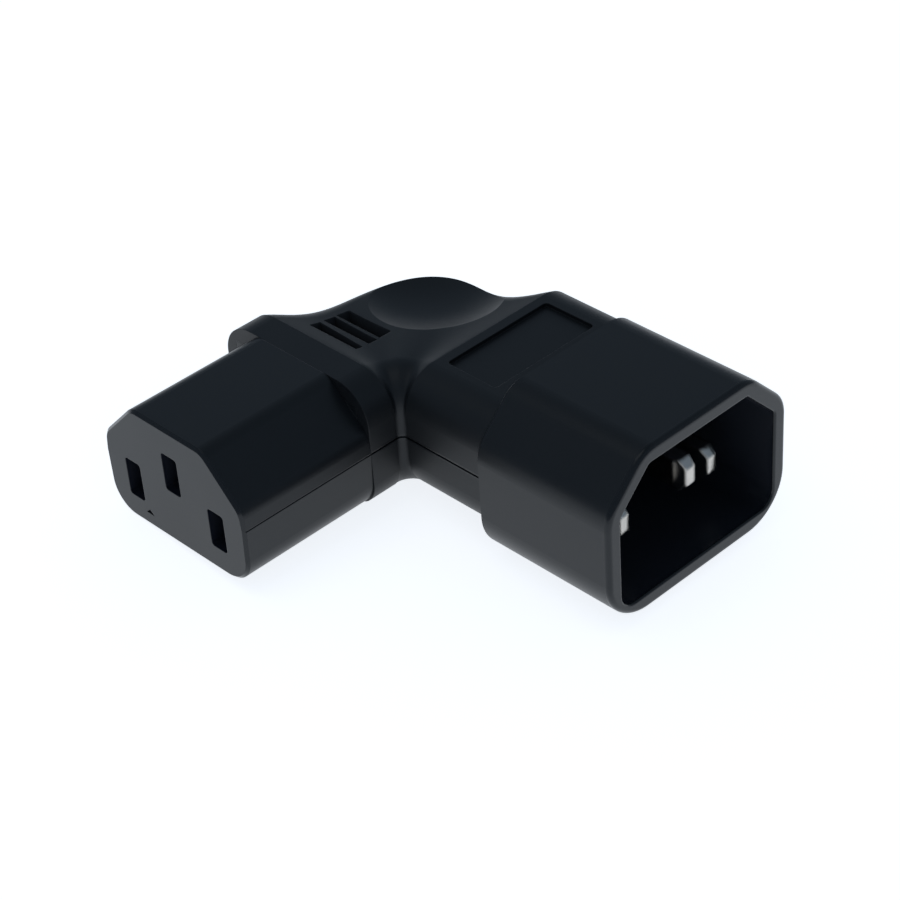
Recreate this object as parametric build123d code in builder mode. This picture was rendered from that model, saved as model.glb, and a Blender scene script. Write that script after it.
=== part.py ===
from build123d import *
import os
from math import cos, radians, sin, sqrt, tan

os.makedirs("parts", exist_ok=True)

# A right-angle mains adapter: an inlet facing +X and an outlet facing -Y, joined by a moulded elbow.
# The two connector axes cross above the origin, and the lowest face lies on Z = 0. All sizes in mm.

# Layout of the poles, the same in both connectors
pole_pitch = 7.0
line_drop = 2.15
earth_rise = 1.85

# Inlet well and shroud
well_width = 24.4
well_height = 16.7
well_slope = 4.5
well_depth = 17.4
well_low_round = 2.0
well_soft = 0.8
shroud_wall = 1.95
shroud_length = 19.0
shroud_low_round = 6.0
shroud_soft = 4.2
shroud_rear_bevel = 0.3
rim_round = 0.6
rim_lead = 0.3

# Outlet nose
nose_width = 23.5
nose_height = 15.6
nose_length = 18.3
nose_slope = 5.5
nose_lean = 0.25
nose_low_round = 3.7
nose_soft = 2.4
nose_bevel = 0.35
nose_front_wall = 2.0
slot_width = 2.56
slot_height = 4.95
slot_round = 0.4
gate_mark_width = 1.35
gate_mark_height = 0.58
gate_mark_depth = 0.2
gate_mark_place = (-5.1, -6.0)

# Flanges that lock each connector into the elbow
spigot_length = 2.8
spigot_wall = 0.9
block_length = 5.5
block_width = 20.4
block_height = 11.0
lock_width = 1.2
lock_depth = 0.5
cap_thickness = 1.4

# Inlet blades
blade_width = 2.0
blade_height = 4.0
blade_corner = 0.25
blade_tip_width = 1.2
blade_tip_height = 2.1
blade_side_bevel = 1.8
blade_end_bevel = 0.95
line_tip_setback = 4.3
earth_tip_setback = 1.2
blade_tail = 2.4

# Outlet contacts and the links to the blades
chamber_width = 4.0
chamber_height = 5.4
contact_sheet = 0.4
contact_height = 4.2
contact_pinch = 0.1
contact_flare = 0.7
contact_bow = 0.45
contact_mouth = 0.3
contact_length = 11.0
contact_pinch_place = 2.75
contact_bow_place = 5.5
tail_width = 2.0
tail_height = 3.6
tail_reach = 2.4
link_thickness = 0.8
link_height = 3.0
link_grip = 2.0
link_bend = 3.0
fit_clearance = 0.05

# Elbow
neck_width = 26.4
neck_length = 11.65
collar_length = 3.8
elbow_round = 4.5
collar_low_round = 3.4
fan_radius = 0.9
seam_width = 0.24
seam_depth = 0.18
nose_seam_width = 0.14
nose_seam_depth = 0.1

# Bend of the elbow, as sections fanned about the inner corner: the back is drawn in at a waist on each
# side of the rounded outer corner, as a sum of sine waves, and the top falls towards the back.
bend_steps = 10
bend_ease = 0.02
back_waves = (1.94, 0.57, 1.89, -0.58, 0.28)
back_fall = 2.2
fall_power = 0.8
saddle = 0.35
lobe_round = 2.4

# Thumb dish over the bend
dish_radius = 7.8
dish_sphere = 19.0
dish_place = (2.3, 0.9)
dish_drop = 1.35
dish_tilt = 9.0

# Grip grooves across the outlet arm: each has a ramp and an upright wall, and each next one is deeper
groove_count = 3
groove_pitch = 2.2
groove_first = (0.05, -10.75)
groove_length = 7.4
groove_level = 1.83
groove_step = 0.59
groove_ramp = 45.0
groove_tilt = 3.0
groove_turn = -2.2

# Bare label recess on the neck
plate_length = 7.4
plate_width = 15.6
plate_margin = 1.3
plate_depth = 0.5
plate_round = 0.5

# How far a cut runs past the faces it opens
cut_past = 5.0

# Places worked out from the sizes above
shroud_width = well_width + 2 * shroud_wall
shroud_height = well_height + 2 * shroud_wall
shroud_slope = well_slope + shroud_wall * (2 - sqrt(2))
axis_height = shroud_height / 2
neck_height = nose_height
pivot_x = nose_width / 2 + fan_radius
pivot_y = -(neck_width / 2 + fan_radius)
shroud_back = pivot_x + neck_length
inlet_reach = shroud_back + shroud_length
nose_back = pivot_y - collar_length
outlet_reach = nose_length - nose_back
well_floor = inlet_reach - well_depth
block_back = shroud_back - block_length
spigot_back = nose_back + spigot_length
contact_front = -outlet_reach + nose_front_wall + contact_mouth
contact_back = contact_front + contact_length
tail_end = spigot_back + cap_thickness + tail_reach
blade_end = block_back - blade_tail
spigot_width = 2 * pole_pitch + chamber_width + 2 * spigot_wall
spigot_top = earth_rise + chamber_height / 2 + spigot_wall
spigot_bottom = line_drop + chamber_height / 2 + spigot_wall

# Each pole: name, place along the outlet's width, height, blade setback and bend radius of its link.
# The inner pole of the outlet joins the inner pole of the inlet, so no two links cross.
poles = [
    ("live", pole_pitch, axis_height - line_drop, line_tip_setback, link_bend),
    ("earth", 0.0, axis_height + earth_rise, earth_tip_setback, link_bend + pole_pitch),
    ("neutral", -pole_pitch, axis_height - line_drop, line_tip_setback, link_bend + 2 * pole_pitch),
]


def outlet_plane(y):
    """Plane across the outlet's axis, seen from the outlet's front: local x along X and local y up."""
    return Plane(origin=(0, y, axis_height), x_dir=(1, 0, 0), z_dir=(0, -1, 0))


def inlet_plane(x):
    """Plane across the inlet's axis, seen from the inlet's mouth: local x along Y and local y up."""
    return Plane(origin=(x, 0, axis_height), x_dir=(0, 1, 0), z_dir=(1, 0, 0))


def connector_outline(width, height, slope, low_round, soft, lean):
    """Front outline of a connector: sloped upper corners, round lower ones and sides leaning in."""
    half = width / 2
    side = half - lean
    top = height / 2
    ridge = [(half, 0)] if lean else []
    right = [(side, -top), *ridge, (side, top - slope), (side - slope, top)]
    left = [(-x, y) for x, y in reversed(right)]
    with BuildSketch() as outline:
        with BuildLine():
            Polyline(*right, *left, close=True)
        make_face()
        corners = outline.vertices().group_by(Axis.Y)
        fillet(corners[0], low_round)
        fillet([v for v in outline.vertices() if v.Y > (top - slope) / 2], soft)
    return outline.sketch


def blade_outline(tip, size, tip_size, bevel):
    """Outline of a blade, seen from above or from its side: straight up to the bevel at its tip."""
    near_side = [(blade_end, -size / 2), (tip - bevel, -size / 2), (tip, -tip_size / 2)]
    return near_side + [(x, -y) for x, y in reversed(near_side)]


def bend_section(angle, inset):
    """Section of the elbow at an angle from the outlet arm, on a plane through the inner corner's axis."""
    turn = radians(angle)
    outward = (-cos(turn), sin(turn), 0)
    draw_in = sum(wave * sin(2 * (index + 1) * turn) for index, wave in enumerate(back_waves))
    inner_drop = saddle * sin(4 * turn) ** 2
    back_drop = back_fall * abs(sin(2 * turn)) ** fall_power
    back_round = elbow_round - (elbow_round - lobe_round) * sin(2 * turn) ** 2
    plane = Plane(
        origin=(pivot_x, pivot_y, axis_height), x_dir=outward, z_dir=(sin(turn), cos(turn), 0)
    )
    reach = fan_radius + nose_width + (neck_width - nose_width) * angle / 90 - draw_in - inset
    near = fan_radius + inset
    top = neck_height / 2 - inset
    with BuildSketch(plane) as section:
        with BuildLine():
            Polyline(
                (near, -top),
                (reach, -top),
                (reach, top - back_drop),
                (near, top - inner_drop),
                close=True,
            )
        make_face()
        low_round = collar_low_round + (elbow_round - collar_low_round) * angle / 90
        fillet(section.vertices().group_by(Axis.Y)[0], low_round - inset)
        fillet(section.vertices().filter_by(lambda v: v.Y > 0).sort_by(Axis.X)[0], elbow_round - inset)
        fillet(section.vertices().filter_by(lambda v: v.Y > 0).sort_by(Axis.X)[-1], back_round - inset)
    return section


def elbow_form(inset):
    """Outside of the elbow, drawn in by an inset: the lofted bend, the outlet's collar and the neck.

    The bend stands in from the two arms by a hair, and its underside is trimmed flat.
    """
    with BuildPart() as form:
        for step in range(bend_steps + 1):
            add(bend_section(90 * step / bend_steps, inset + bend_ease).sketch)
        loft()
        split(bisect_by=Plane.XY.offset(axis_height - neck_height / 2 + inset + 2 * bend_ease))
        add(bend_section(0, inset).sketch)
        extrude(amount=collar_length, dir=(0, -1, 0))
        add(bend_section(90, inset).sketch)
        extrude(amount=neck_length, dir=(1, 0, 0))
    return form.part


with BuildPart() as inlet_body:
    with BuildSketch(inlet_plane(shroud_back)):
        add(connector_outline(shroud_width, shroud_height, shroud_slope, shroud_low_round, shroud_soft, 0))
    extrude(amount=shroud_length)
    chamfer(inlet_body.faces().sort_by(Axis.X)[0].edges(), shroud_rear_bevel)
    fillet(inlet_body.faces().sort_by(Axis.X)[-1].edges(), rim_round)
    with BuildSketch(inlet_plane(block_back)):
        Rectangle(block_width, block_height)
    extrude(amount=block_length)
    with BuildSketch(inlet_plane((block_back + shroud_back - lock_width) / 2)):
        Rectangle(block_width + cut_past, block_height + cut_past)
        Rectangle(block_width - 2 * lock_depth, block_height - 2 * lock_depth, mode=Mode.SUBTRACT)
    extrude(amount=lock_width, mode=Mode.SUBTRACT)

with BuildPart() as outlet_body:
    with BuildSketch(outlet_plane(nose_back)):
        add(connector_outline(nose_width, nose_height, nose_slope, nose_low_round, nose_soft, nose_lean))
    extrude(amount=nose_length)
    chamfer(outlet_body.faces().sort_by(Axis.Y)[0].edges(), nose_bevel)
    with Locations((nose_width / 2, nose_back, axis_height), (-nose_width / 2, nose_back, axis_height)):
        Box(2 * nose_seam_depth, 2 * (nose_length + cut_past), nose_seam_width, mode=Mode.SUBTRACT)
    spigot_height = spigot_top + spigot_bottom
    spigot_centre = (spigot_top - spigot_bottom) / 2
    with BuildSketch(outlet_plane(spigot_back)):
        with Locations((0, spigot_centre)):
            Rectangle(spigot_width, spigot_height)
    extrude(amount=spigot_length)
    with BuildSketch(outlet_plane((nose_back + spigot_back + lock_width) / 2)):
        with Locations((0, spigot_centre)):
            Rectangle(spigot_width + cut_past, spigot_height + cut_past)
            Rectangle(spigot_width - 2 * lock_depth, spigot_height - 2 * lock_depth, mode=Mode.SUBTRACT)
    extrude(amount=lock_width, mode=Mode.SUBTRACT)

pins = {}
contacts = {}
links = {}
for pole, side, height, setback, bend in poles:
    level = height - axis_height
    tip = inlet_reach - setback

    # Solid blade with a bevelled tip; a saw slot in its tail takes the end of the link
    blade_plane = Plane(origin=(0, -side, height))
    with BuildPart() as pin:
        with BuildSketch(blade_plane):
            with BuildLine():
                Polyline(*blade_outline(tip, blade_width, blade_tip_width, blade_side_bevel), close=True)
            make_face()
        extrude(amount=blade_height / 2, both=True)
        with BuildSketch(blade_plane.rotated((90, 0, 0))):
            with BuildLine():
                Polyline(*blade_outline(tip, blade_height, blade_tip_height, blade_end_bevel), close=True)
            make_face()
        extrude(amount=blade_width, both=True, mode=Mode.INTERSECT)
        fillet(pin.edges().filter_by(Axis.X), blade_corner)
        with BuildSketch(inlet_plane(blade_end)):
            with Locations((-side, level)):
                Rectangle(link_thickness, blade_height + cut_past)
        extrude(amount=link_grip, mode=Mode.SUBTRACT)
    pins[pole] = pin.part

    # Two spring leaves on a cross web, with a slotted tail that comes out through the rear cap
    gap = blade_width / 2 - contact_pinch
    with BuildPart() as contact:
        with BuildSketch(Plane.XY.offset(height - contact_height / 2)):
            with BuildLine():
                pinch = ThreePointArc(
                    (side + gap + contact_flare, contact_front),
                    (side + gap, contact_front + contact_pinch_place),
                    (side + gap + contact_bow, contact_front + contact_bow_place),
                )
                Line(pinch @ 1, (side + gap + contact_bow, contact_back))
                offset(amount=contact_sheet, side=Side.RIGHT)
            make_face()
        extrude(amount=contact_height)
        mirror(about=Plane.YZ.offset(side))
        with BuildSketch(outlet_plane(contact_back)):
            with Locations((side, level)):
                Rectangle(chamber_width - 2 * fit_clearance, chamber_height - 2 * fit_clearance)
        extrude(amount=contact_sheet)
        with BuildSketch(outlet_plane(tail_end)):
            with Locations((side, level)):
                Rectangle(tail_width, tail_height)
        extrude(amount=tail_end - contact_back)
        with BuildSketch(outlet_plane(tail_end)):
            with Locations((side, level)):
                Rectangle(link_thickness, tail_height + cut_past)
        extrude(amount=link_grip, mode=Mode.SUBTRACT)
    contacts[pole] = contact.part

    # Brass strip standing on edge, bent once, from the blade's slot to the contact's slot
    with BuildPart() as link:
        with BuildSketch(Plane.XY.offset(height - link_height / 2)):
            with BuildLine():
                FilletPolyline(
                    (blade_end + link_grip, -side + link_thickness / 2),
                    (side - link_thickness / 2, -side + link_thickness / 2),
                    (side - link_thickness / 2, tail_end - link_grip),
                    radius=bend + link_thickness / 2,
                )
                offset(amount=link_thickness, side=Side.LEFT)
            make_face()
        extrude(amount=link_height)
    links[pole] = link.part

# Rigid nose: three slots in its face open into the contact chambers
with BuildPart() as outlet_nose:
    add(outlet_body.part)
    for _, side, height, _, _ in poles:
        with BuildSketch(outlet_plane(-outlet_reach + nose_front_wall)):
            with Locations((side, height - axis_height)):
                RectangleRounded(slot_width, slot_height, slot_round)
        extrude(amount=nose_front_wall, mode=Mode.SUBTRACT)
        with BuildSketch(outlet_plane(spigot_back)):
            with Locations((side, height - axis_height)):
                Rectangle(chamber_width, chamber_height)
        extrude(amount=spigot_back + outlet_reach - nose_front_wall, mode=Mode.SUBTRACT)
    mark_x, mark_z = gate_mark_place
    with BuildSketch(outlet_plane(-outlet_reach + gate_mark_depth)):
        with BuildLine():
            Polyline(
                (mark_x - gate_mark_width / 2, mark_z),
                (mark_x + gate_mark_width / 2, mark_z),
                (mark_x, mark_z + gate_mark_height),
                close=True,
            )
        make_face()
    extrude(amount=gate_mark_depth, mode=Mode.SUBTRACT)

# Rear cap: closes the chambers, with a plug that holds each contact's web
with BuildPart() as outlet_cap:
    with BuildSketch(outlet_plane(spigot_back + cap_thickness)):
        with Locations((0, spigot_centre)):
            Rectangle(spigot_width, spigot_height)
    extrude(amount=cap_thickness)
    for _, side, height, _, _ in poles:
        with BuildSketch(outlet_plane(spigot_back)):
            with Locations((side, height - axis_height)):
                Rectangle(chamber_width - 2 * fit_clearance, chamber_height - 2 * fit_clearance)
        extrude(amount=spigot_back - contact_back)
        with BuildSketch(outlet_plane(spigot_back + cap_thickness)):
            with Locations((side, height - axis_height)):
                Rectangle(tail_width + 2 * fit_clearance, tail_height + 2 * fit_clearance)
        extrude(amount=spigot_back + cap_thickness - contact_back, mode=Mode.SUBTRACT)

# Shroud: the body with its well and with the blades pressed through the floor
with BuildPart() as inlet_shroud:
    add(inlet_body.part)
    with BuildSketch(inlet_plane(well_floor)):
        add(connector_outline(well_width, well_height, well_slope, well_low_round, well_soft, 0))
    extrude(amount=well_depth, mode=Mode.SUBTRACT)
    rim = inlet_shroud.faces().sort_by(Axis.X)[-1]
    fillet(rim.inner_wires()[0].edges(), rim_lead)
    for part in pins.values():
        add(part, mode=Mode.SUBTRACT)

# Elbow: moulded round the two connectors and the links in one shot
dish_lean = sin(radians(dish_tilt)) / sqrt(2)
dish_normal = Vector(-dish_lean, dish_lean, cos(radians(dish_tilt)))
dish_rim = Vector(*dish_place, axis_height + neck_height / 2 - dish_drop)
dish_centre = dish_rim + dish_normal * sqrt(dish_sphere**2 - dish_radius**2)
with BuildPart() as seam:
    with Locations((0, 0, axis_height)):
        Box(2 * (inlet_reach + cut_past), 2 * (outlet_reach + cut_past), seam_width)
    add(elbow_form(seam_depth), mode=Mode.SUBTRACT)
with BuildPart() as elbow:
    add(elbow_form(0))
    with Locations(dish_centre):
        Sphere(dish_sphere, mode=Mode.SUBTRACT)
    groove_along = Vector(1, 0, 0).rotate(Axis.Y, -groove_tilt).rotate(Axis.Z, groove_turn)
    groove_across = Vector(0, 1, 0).rotate(Axis.Z, groove_turn)
    groove_open = groove_level + groove_count * groove_step
    for index in range(groove_count):
        foot_y = groove_first[1] + index * groove_pitch
        foot_z = axis_height + neck_height / 2 - groove_level - index * groove_step
        foot = (groove_first[0], foot_y, foot_z)
        with BuildSketch(Plane(origin=foot, x_dir=groove_across, z_dir=groove_along)):
            with BuildLine():
                Polyline(
                    (0, 0),
                    (0, groove_open),
                    (-groove_open / tan(radians(groove_ramp)), groove_open),
                    close=True,
                )
            make_face()
        extrude(amount=groove_length / 2, both=True, mode=Mode.SUBTRACT)
    plate_plane = Plane.XY.offset(axis_height + neck_height / 2 - plate_depth)
    with BuildSketch(plate_plane):
        with Locations((pivot_x + plate_margin + plate_length / 2, 0)):
            RectangleRounded(plate_length, plate_width, plate_round)
    extrude(amount=neck_height, mode=Mode.SUBTRACT)
    add(seam.part, mode=Mode.SUBTRACT)
    add(inlet_body.part, mode=Mode.SUBTRACT)
    add(outlet_body.part, mode=Mode.SUBTRACT)
    add(outlet_cap.part, mode=Mode.SUBTRACT)
    for pole in pins:
        add(pins[pole], mode=Mode.SUBTRACT)
        add(contacts[pole], mode=Mode.SUBTRACT)
        add(links[pole], mode=Mode.SUBTRACT)

# The origin goes under the middle of the outline, on the surface that the part rests on
to_origin = Location(((nose_width / 2 - inlet_reach) / 2, (outlet_reach - shroud_width / 2) / 2, 0))
pieces = {
    "inlet_shroud": inlet_shroud.part,
    "outlet_nose": outlet_nose.part,
    "outlet_cap": outlet_cap.part,
    "elbow": elbow.part,
}
for pole in pins:
    pieces[f"{pole}_pin"] = pins[pole]
    pieces[f"{pole}_contact"] = contacts[pole]
    pieces[f"{pole}_link"] = links[pole]
for name, piece in pieces.items():
    piece.move(to_origin)
    piece.label = name
    export_step(piece, f"parts/{name}.step")
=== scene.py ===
from math import atan2, cos, radians, sin

import bpy
import numpy as np
from mathutils import Matrix, Vector


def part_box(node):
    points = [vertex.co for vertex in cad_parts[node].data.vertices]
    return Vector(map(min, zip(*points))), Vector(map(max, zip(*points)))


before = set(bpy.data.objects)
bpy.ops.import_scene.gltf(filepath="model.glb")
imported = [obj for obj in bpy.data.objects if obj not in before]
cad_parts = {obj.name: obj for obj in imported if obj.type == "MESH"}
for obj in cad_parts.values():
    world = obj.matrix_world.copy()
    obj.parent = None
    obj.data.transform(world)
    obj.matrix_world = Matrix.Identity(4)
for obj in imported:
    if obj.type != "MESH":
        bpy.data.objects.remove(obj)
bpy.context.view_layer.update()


# Spring contacts
# Each pole's contact is half-hard brass strip, folded into two leaves behind its slot. The rear cap
# holds its web, and its tail is sawn for the link. Only a glint shows through the slots.

class Wire:
    """One output of a node. Arithmetic on it adds Math nodes, and node() adds any other kind."""

    def __init__(self, tree, socket):
        self.tree = tree
        self.socket = socket

    def node(self, kind, settings, sockets, output=0):
        """Adds a node: first its settings and a ramp's stops, then its sockets' values or links."""
        made = self.tree.nodes.new(kind)
        for name, value in settings.items():
            if name == "stops":
                ramp = made.color_ramp.elements
                ramp[0].position, ramp[0].color = value[0]
                ramp[1].position, ramp[1].color = value[-1]
                for position, colour in value[1:-1]:
                    ramp.new(position).color = colour
            else:
                setattr(made, name, value)
        for name, value in sockets.items():
            if isinstance(value, Wire):
                self.tree.links.new(value.socket, made.inputs[name])
            else:
                made.inputs[name].default_value = value
        return Wire(self.tree, made.outputs[output])

    def math(self, operation, first, second):
        return self.node("ShaderNodeMath", {"operation": operation}, {0: first, 1: second})

    def __add__(self, other):
        return self.math("ADD", self, other)

    def __sub__(self, other):
        return self.math("SUBTRACT", self, other)

    def __rsub__(self, other):
        return self.math("SUBTRACT", other, self)

    def __mul__(self, other):
        return self.math("MULTIPLY", self, other)

    def __abs__(self):
        return self.math("ABSOLUTE", self, 0.0)

    def __lt__(self, other):
        return self.math("LESS_THAN", self, other)

    def __gt__(self, other):
        return self.math("GREATER_THAN", self, other)

    __radd__ = __add__
    __rmul__ = __mul__

    def along(self, axis):
        """One part of a place or direction: 0 along X, 1 along Y, 2 along Z."""
        return self.node("ShaderNodeSeparateXYZ", {}, {"Vector": self}, output=axis)

    def noise(self, scale, detail=2.0, stretch=(1, 1, 1)):
        """Soft noise from 0 to 1, of scale lumps to the metre, longer where stretch is under 1."""
        place = self.node("ShaderNodeMapping", {}, {"Vector": self, "Scale": stretch})
        lumps = {"Vector": place, "Scale": scale, "Detail": detail}
        return self.node("ShaderNodeTexNoise", {}, lumps)

    def between(self, first, second):
        """Colour that goes from the first to the second as this value goes from 0 to 1."""
        ends = [end if isinstance(end, Wire) else (*end, 1) for end in (first, second)]
        sockets = {0: self, 6: ends[0], 7: ends[1]}
        return self.node("ShaderNodeMix", {"data_type": "RGBA"}, sockets, output=2)


class Finish:
    """A material round one shader: constants on the shader's sockets, and wires for what varies."""

    def __init__(self, name, **constants):
        self.material = bpy.data.materials.new(name)
        self.material.use_nodes = True
        self.tree = self.material.node_tree
        self.shader = self.tree.nodes["Principled BSDF"]
        for socket, value in constants.items():
            self.shader.inputs[socket.replace("_", " ")].default_value = value
        coordinates = self.tree.nodes.new("ShaderNodeTexCoord")
        self.place = Wire(self.tree, coordinates.outputs["Object"])

    def feed(self, socket, wire):
        self.tree.links.new(wire.socket, self.shader.inputs[socket])

    def raise_by(self, height, distance, edge_round):
        """Relief of a height from 0 to 1 times a distance in metres, over edges eased by a radius."""
        eased = self.place.node("ShaderNodeBevel", {"samples": 6}, {"Radius": edge_round})
        relief = {"Height": height, "Distance": distance, "Strength": 1.0, "Normal": eased}
        self.feed("Normal", self.place.node("ShaderNodeBump", {}, relief))

    def coat(self, *nodes):
        """Gives the finish to CAD nodes."""
        for node in nodes:
            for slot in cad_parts[node].material_slots:
                slot.material = self.material


dull_brass = (0.42, 0.26, 0.09)
bright_brass = (0.78, 0.57, 0.26)
strip_roughness = 0.22
tarnish_dulls = 0.22
rolling_dulls = 0.08
rolling_depth = 3e-6
strip_edge = 0.05e-3

strip_brass = Finish("strip_brass", Metallic=1.0)
tarnish = strip_brass.place.noise(scale=420, detail=4)
rolling = strip_brass.place.noise(scale=9000, stretch=(1, 1, 0.06))
strip_brass.feed("Base Color", tarnish.between(dull_brass, bright_brass))
strip_brass.feed("Roughness", strip_roughness + tarnish_dulls * tarnish + rolling_dulls * rolling)
strip_brass.raise_by(rolling, rolling_depth, strip_edge)
strip_brass.coat("live_contact", "earth_contact", "neutral_contact")


# Outlet nose and its rear cap
# The nose is rigid black plastic, injection moulded with three slots in its face and a chamber behind
# each. The cap is pressed into its back. The mould is spark-eroded steel, which leaves a satin skin.

deep_black = (0.0045, 0.0055, 0.0072)
pale_black = (0.0065, 0.0080, 0.0102)
patches_dull = 0.08
grain_dulls = 0.05
polish_brightens = 0.14
grain_depth = 2.5e-6
moulded_edge = 0.12e-3


def moulded_black(
    name, roughness, grain, hollow, hollow_painted_tone, hollow_roughness, polished, eased
):
    """Black moulding compound: a faintly cloudy colour, and a satin skin with grain and dull patches.

    The hollow's mask is 1 on the walls of a deep core or cut, which get a painted tone and a roughness
    of their own: painted shade in the slots and the well, painted light on the grip grooves' walls. The
    polished mask is 1 where the mould's parts slide on each other. Eased gives the radius of the edges.
    """
    finish = Finish(name, IOR=1.40, Specular_Tint=(0.93, 0.97, 1.0, 1))
    clouds = finish.place.noise(scale=130, detail=3)
    skin = finish.place.noise(scale=grain)
    inside = hollow(finish.place)
    skin_colour = clouds.between(deep_black, pale_black)
    finish.feed("Base Color", inside.between(skin_colour, hollow_painted_tone))
    satin = roughness - patches_dull / 2 + patches_dull * clouds + grain_dulls * skin
    wiped = satin - polish_brightens * polished(finish.place)
    finish.feed("Roughness", wiped + inside * (hollow_roughness - roughness))
    finish.raise_by(skin, grain_depth, eased(finish.place))
    return finish


nose_low, nose_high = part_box("outlet_nose")
nose_middle = (nose_low.x + nose_high.x) / 2
face_skin = 0.03e-3
slots_half_width = 8.7e-3
nose_top_wall = 3.1e-3
nose_bottom_wall = 2.8e-3
nose_bevel_start = 0.01e-3
nose_bevel_end = 0.36e-3


def in_slots(place):
    """1 in the slots and chambers: behind the face, and inside the nose's sides, top and bottom."""
    behind_face = place.along(1) > nose_low.y + face_skin
    between_sides = abs(place.along(0) - nose_middle) < slots_half_width
    under_top = place.along(2) < nose_high.z - nose_top_wall
    over_bottom = place.along(2) > nose_low.z + nose_bottom_wall
    return behind_face * between_sides * under_top * over_bottom


def on_nose_bevel(place):
    """1 on the bevel round the nose's face, where the mould's halves meet the face's insert."""
    before_end = place.along(1) < nose_low.y + nose_bevel_end
    return before_end * (place.along(1) > nose_low.y + nose_bevel_start)


def nose_ease(place):
    """Edge radius of the nose, the same at every place."""
    return moulded_edge


rigid_roughness = 0.34
rigid_grain = 5200
# Painted shade: the slots and chambers are the same plastic as the face, but get a bluish tone and a
# roughness of their own for their shaded inside.
slot_painted_shade = (0.0085, 0.0105, 0.0180)
core_roughness = 0.45

nose_black = moulded_black(
    "nose_black",
    roughness=rigid_roughness,
    grain=rigid_grain,
    hollow=in_slots,
    hollow_painted_tone=slot_painted_shade,
    hollow_roughness=core_roughness,
    polished=on_nose_bevel,
    eased=nose_ease,
)
nose_black.coat("outlet_nose", "outlet_cap")


# Blades
# Three flat pins of drawn brass bar, bevelled at the tip, sawn at the tail and nickel plated. They are
# pressed through the shroud's floor, and the earth pin stands further out than the other two.

dull_nickel = (0.44, 0.425, 0.40)
bright_nickel = (0.54, 0.52, 0.49)
nickel_roughness = 0.09
drawing_dulls = 0.06
cloud_dulls = 0.05
drawing_depth = 1e-6
plated_edge = 0.7e-3

nickel = Finish("nickel_plate", Metallic=1.0)
drawn = nickel.place.noise(scale=5200, stretch=(0.05, 1, 1))
cloud = nickel.place.noise(scale=600, detail=3)
nickel.feed("Base Color", cloud.between(dull_nickel, bright_nickel))
nickel.feed("Roughness", nickel_roughness + drawing_dulls * drawn + cloud_dulls * cloud)
nickel.raise_by(drawn, drawing_depth, plated_edge)
nickel.coat("live_pin", "earth_pin", "neutral_pin")


# Links
# Brass strip bent on edge, one to a pole, from the saw slot in a blade's tail to the one in a contact's
# tail. The elbow is moulded round them and seals them in.

strip_brass.coat("live_link", "earth_link", "neutral_link")


# Inlet shroud
# One rigid moulding of the same black plastic as the nose, with a deep well round the blades. The
# elbow grips the grooved block at its back.

shroud_low, shroud_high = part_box("inlet_shroud")
shroud_middle = (shroud_low + shroud_high) / 2
rim_lead = 0.31e-3
past_floor = 18e-3
well_half_width = 13.2e-3
well_half_height = 9.3e-3
top_corner_reach = 17.4e-3
low_corner_reach = 20.2e-3
rim_depth = 0.7e-3
eased_length = 18.4e-3


def in_well(place):
    """1 in the well: behind the rim, over the floor, and no further out than the middle of the walls.

    The corners are cut off where the distances across and up, or across and down, add up to a reach.
    """
    across = abs(place.along(1) - shroud_middle.y)
    up = place.along(2) - shroud_middle.z
    behind_rim = place.along(0) < shroud_high.x - rim_lead
    over_floor = place.along(0) > shroud_high.x - past_floor
    between_walls = (across < well_half_width) * (abs(up) < well_half_height)
    between_corners = (across + up < top_corner_reach) * (across - up < low_corner_reach)
    return behind_rim * over_floor * between_walls * between_corners


def on_rim(place):
    """1 on the rim round the mouth, which the mould's core wipes bright."""
    return place.along(0) > shroud_high.x - rim_depth


def shroud_ease(place):
    """Edge radius of the shroud: the same all over, but none at its back, by the elbow."""
    return moulded_edge * (place.along(0) > shroud_high.x - eased_length)


# Painted shade: the well is the same plastic as the shroud's skin, but gets a bluish tone of its own
# for its shaded inside.
well_painted_shade = (0.012, 0.0145, 0.021)

shroud_black = moulded_black(
    "shroud_black",
    roughness=rigid_roughness,
    grain=rigid_grain,
    hollow=in_well,
    hollow_painted_tone=well_painted_shade,
    hollow_roughness=core_roughness,
    polished=on_rim,
    eased=shroud_ease,
)
shroud_black.coat("inlet_shroud")


# Elbow
# The outer moulding, shot round both connectors in one go from a slightly softer black compound. The
# halves of its mould meet in a seam at half height. The grip grooves' upright walls get painted light,
# a paler and rougher tone than the skin.

elbow_low, elbow_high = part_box("elbow")
elbow_half_height = (elbow_low.z + elbow_high.z) / 2
turned_enough = 0.8
grooves_reach = 10e-3
grooves_depth = 3.6e-3
seam_band = 0.35e-3
shut_off = 0.4e-3


def on_groove_walls(place):
    """1 on the grip grooves' upright walls: high on the outlet arm, turned to -Y or to its middle."""
    facing = place.node("ShaderNodeNewGeometry", {}, {}, output=1)
    left_end = (facing.along(0) > turned_enough) * (place.along(0) < nose_middle)
    right_end = (facing.along(0) < -turned_enough) * (place.along(0) > nose_middle)
    turned = (facing.along(1) < -turned_enough) + left_end + right_end
    over_arm = (place.along(0) < nose_high.x) * (place.along(1) < nose_high.y + grooves_reach)
    behind_nose = place.along(1) > nose_high.y
    near_top = place.along(2) > elbow_high.z - grooves_depth
    return turned * over_arm * behind_nose * near_top


def along_seam(place):
    """1 in a band on each side of the parting seam, at half the elbow's height."""
    return abs(place.along(2) - elbow_half_height) < seam_band


def elbow_ease(place):
    """Edge radius of the elbow: the same all over, but none where it shuts off on the shroud."""
    return moulded_edge * (place.along(0) < elbow_high.x - shut_off)


soft_roughness = 0.44
soft_grain = 4300
# Painted light: the grip grooves' upright walls turned to -Y or to their middle get a paler tone than
# the skin, and a rougher one.
groove_wall_painted_light = (0.026, 0.027, 0.030)
groove_wall_roughness = 0.85

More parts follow.
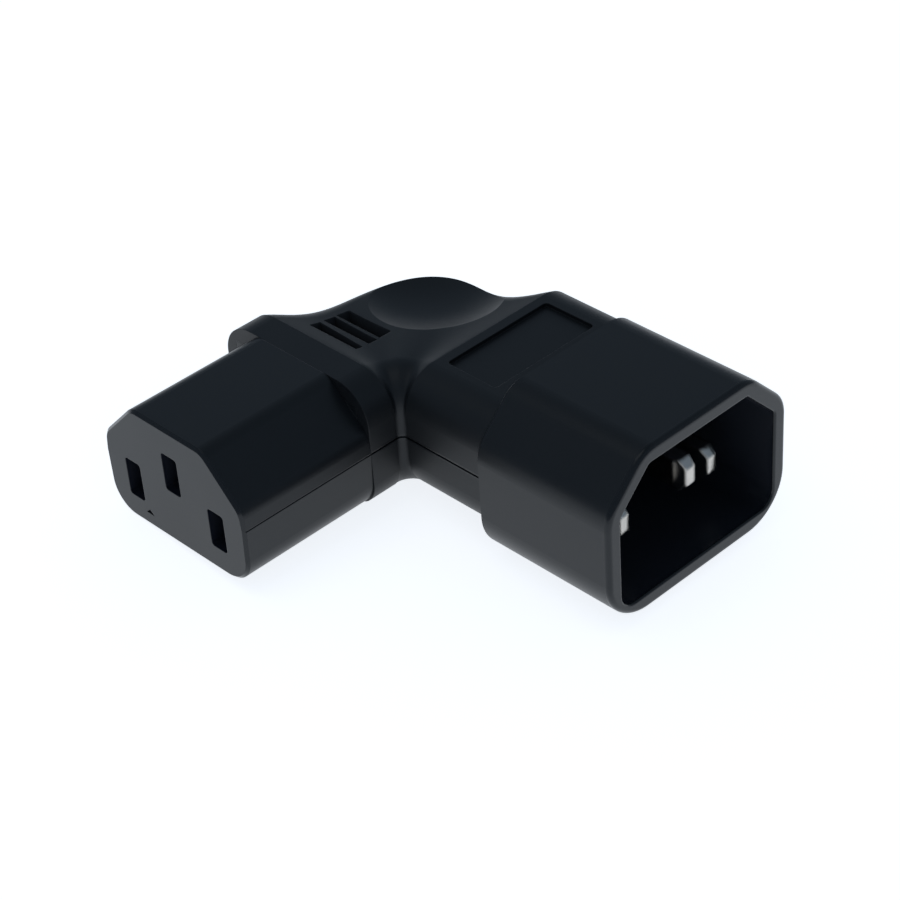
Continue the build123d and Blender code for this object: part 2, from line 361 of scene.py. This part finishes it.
soft_black = moulded_black(
    "soft_black",
    roughness=soft_roughness,
    grain=soft_grain,
    hollow=on_groove_walls,
    hollow_painted_tone=groove_wall_painted_light,
    hollow_roughness=groove_wall_roughness,
    polished=along_seam,
    eased=elbow_ease,
)
soft_black.coat("elbow")


# Table
# A pale lit table. The shroud reaches lower than the nose, so the part leans back onto its nose, and
# the table is laid against the shroud's rear edge and the nose's far edge, where it rests.

block_length = 5.5e-3
rear_bevel = 0.3e-3
nose_low_round = 3.7e-3
rest_edge = (shroud_low.x + block_length + rear_bevel, shroud_low.z)
rest_far = (nose_low.x + nose_low_round, nose_low.z)
table_lean = atan2(rest_far[1] - rest_edge[1], rest_edge[0] - rest_far[0])
table_reach = 12.0
table_rows = 25


def grid_mesh(name, x, y, z):
    """Mesh of a grid of points: a face between every four neighbours."""
    rows, columns = x.shape
    points = np.stack([x, y, z], axis=-1).reshape(-1, 3)
    index = np.arange(rows * columns).reshape(rows, columns)
    corners = [index[:-1, :-1], index[:-1, 1:], index[1:, 1:], index[1:, :-1]]
    faces = np.stack(corners, axis=-1).reshape(-1, 4)
    mesh = bpy.data.meshes.new(name)
    mesh.from_pydata(points.tolist(), [], faces.tolist())
    made = bpy.data.objects.new(name, mesh)
    bpy.context.scene.collection.objects.link(made)
    return made


# The table's height is the distance past the resting edge times the slope of the lean, downwards.
spread = np.linspace(-table_reach, table_reach, table_rows)
table_x, table_y = np.meshgrid(spread, spread)
table_z = -np.tan(table_lean) * (table_x - rest_edge[0])
table = grid_mesh("table", table_x, table_y, table_z)
table_finish = Finish(
    "table_white",
    Base_Color=(0.90, 0.87, 0.84, 1),
    Roughness=0.6,
    Emission_Color=(0.80, 0.825, 0.86, 1),
    Emission_Strength=1.0,
)
table.data.materials.append(table_finish.material)


# Light
# A dim bluish studio, darkest straight above, and one large soft lamp overhead. Most of the light
# that the part mirrors comes off the lit table.

studio_stops = [
    (0.0, (0.20, 0.24, 0.29, 1)),
    (0.20, (0.21, 0.26, 0.32, 1)),
    (0.60, (0.22, 0.28, 0.35, 1)),
    (1.0, (0.13, 0.17, 0.21, 1)),
]
studio = bpy.data.worlds.new("studio")
studio.use_nodes = True
bpy.context.scene.world = studio
studio_nodes = studio.node_tree.nodes
sky = Wire(studio.node_tree, studio_nodes.new("ShaderNodeTexCoord").outputs["Generated"])
shade = sky.node("ShaderNodeValToRGB", {"stops": studio_stops}, {"Fac": sky.along(2)})
studio.node_tree.links.new(shade.socket, studio_nodes["Background"].inputs["Color"])


def seen_at(azimuth, elevation):
    """Direction from the part, of length 1: azimuth turns from -Y towards +X, elevation lifts it."""
    turn = radians(azimuth)
    lift = radians(elevation)
    return Vector((sin(turn) * cos(lift), -cos(turn) * cos(lift), sin(lift)))


lamp_direction = seen_at(azimuth=330, elevation=72)
lamp_distance = 0.9
soft_light = bpy.data.lights.new("lamp_above", "AREA")
soft_light.shape = "SQUARE"
soft_light.size = 0.6
soft_light.energy = 0.5
lamp = bpy.data.objects.new("lamp_above", soft_light)
lamp.location = lamp_direction * lamp_distance
lamp.rotation_euler = lamp_direction.to_track_quat("Z", "Y").to_euler()
bpy.context.scene.collection.objects.link(lamp)


# Camera
# The photograph's own view: a long lens from the corner between the two ends, a little rolled, because
# the part leans on its nose.

camera_direction = seen_at(azimuth=48.094, elevation=36.402)
camera_roll = radians(-4.429)
camera_aim = Vector((0.001932, -0.000695, 0.0103))
camera_distance = 0.267265
focal_pixels = 2458.67
photo_pixels = 900
sensor = 36.0
lens = bpy.data.cameras.new("camera")
lens.sensor_width = sensor
lens.lens = focal_pixels / photo_pixels * sensor
lens.clip_start = 0.01
camera = bpy.data.objects.new("camera", lens)
level = camera_direction.to_track_quat("Z", "Y").to_matrix()
facing = level @ Matrix.Rotation(camera_roll, 3, "Z")
stand = Matrix.Translation(camera_aim + camera_direction * camera_distance)
camera.matrix_world = stand @ facing.to_4x4()
bpy.context.scene.collection.objects.link(camera)
bpy.context.scene.camera = camera
bpy.context.scene.view_settings.view_transform = "Standard"
